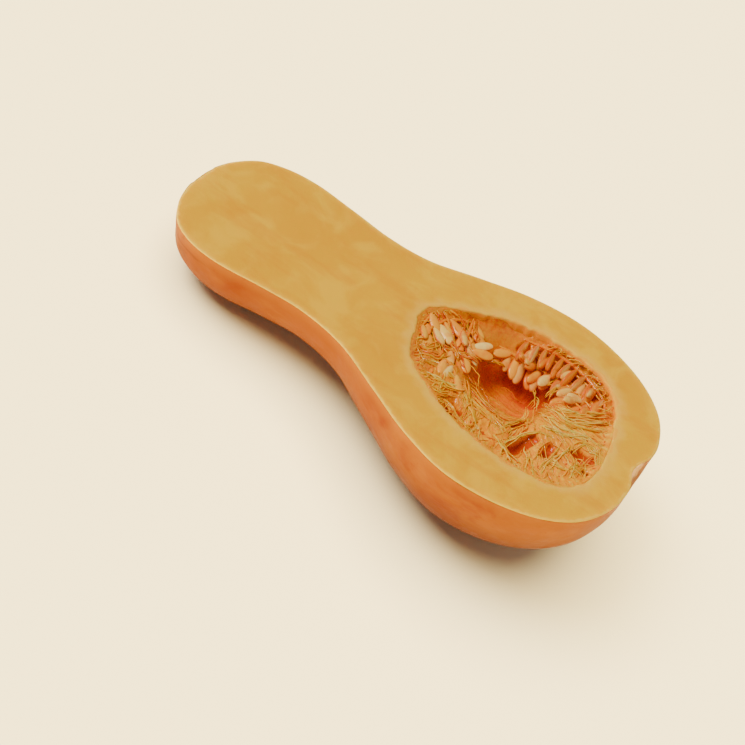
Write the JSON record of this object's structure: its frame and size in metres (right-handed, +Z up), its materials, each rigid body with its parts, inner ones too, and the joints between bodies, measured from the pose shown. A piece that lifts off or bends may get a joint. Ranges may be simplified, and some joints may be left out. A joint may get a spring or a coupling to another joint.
{
  "type": "butternut squash half",
  "caption": "Butternut squash cut lengthwise, lying on its rounded back, with orange flesh and a seed hollow lined with fibrous pulp and seeds.",
  "frame": {"origin": "on the resting surface, under the middle of the half's footprint", "axes": "+X from the stem end to the blossom end, +Y across the cut, +Z up; the cut face looks up and leans towards the stem end"},
  "size_m": [0.2562, 0.1356, 0.0806],
  "materials": {
    "squash": "moist cut flesh inside a waxy tan rind",
    "pulp": "wet, soft and stringy",
    "seed": "smooth and moist"
  },
  "bodies": {
    "root": {"squash_half": "squash", "pulp": "pulp", "seeds_wall": "seed", "seeds_neck": "seed"}
  },
  "joints": []
}
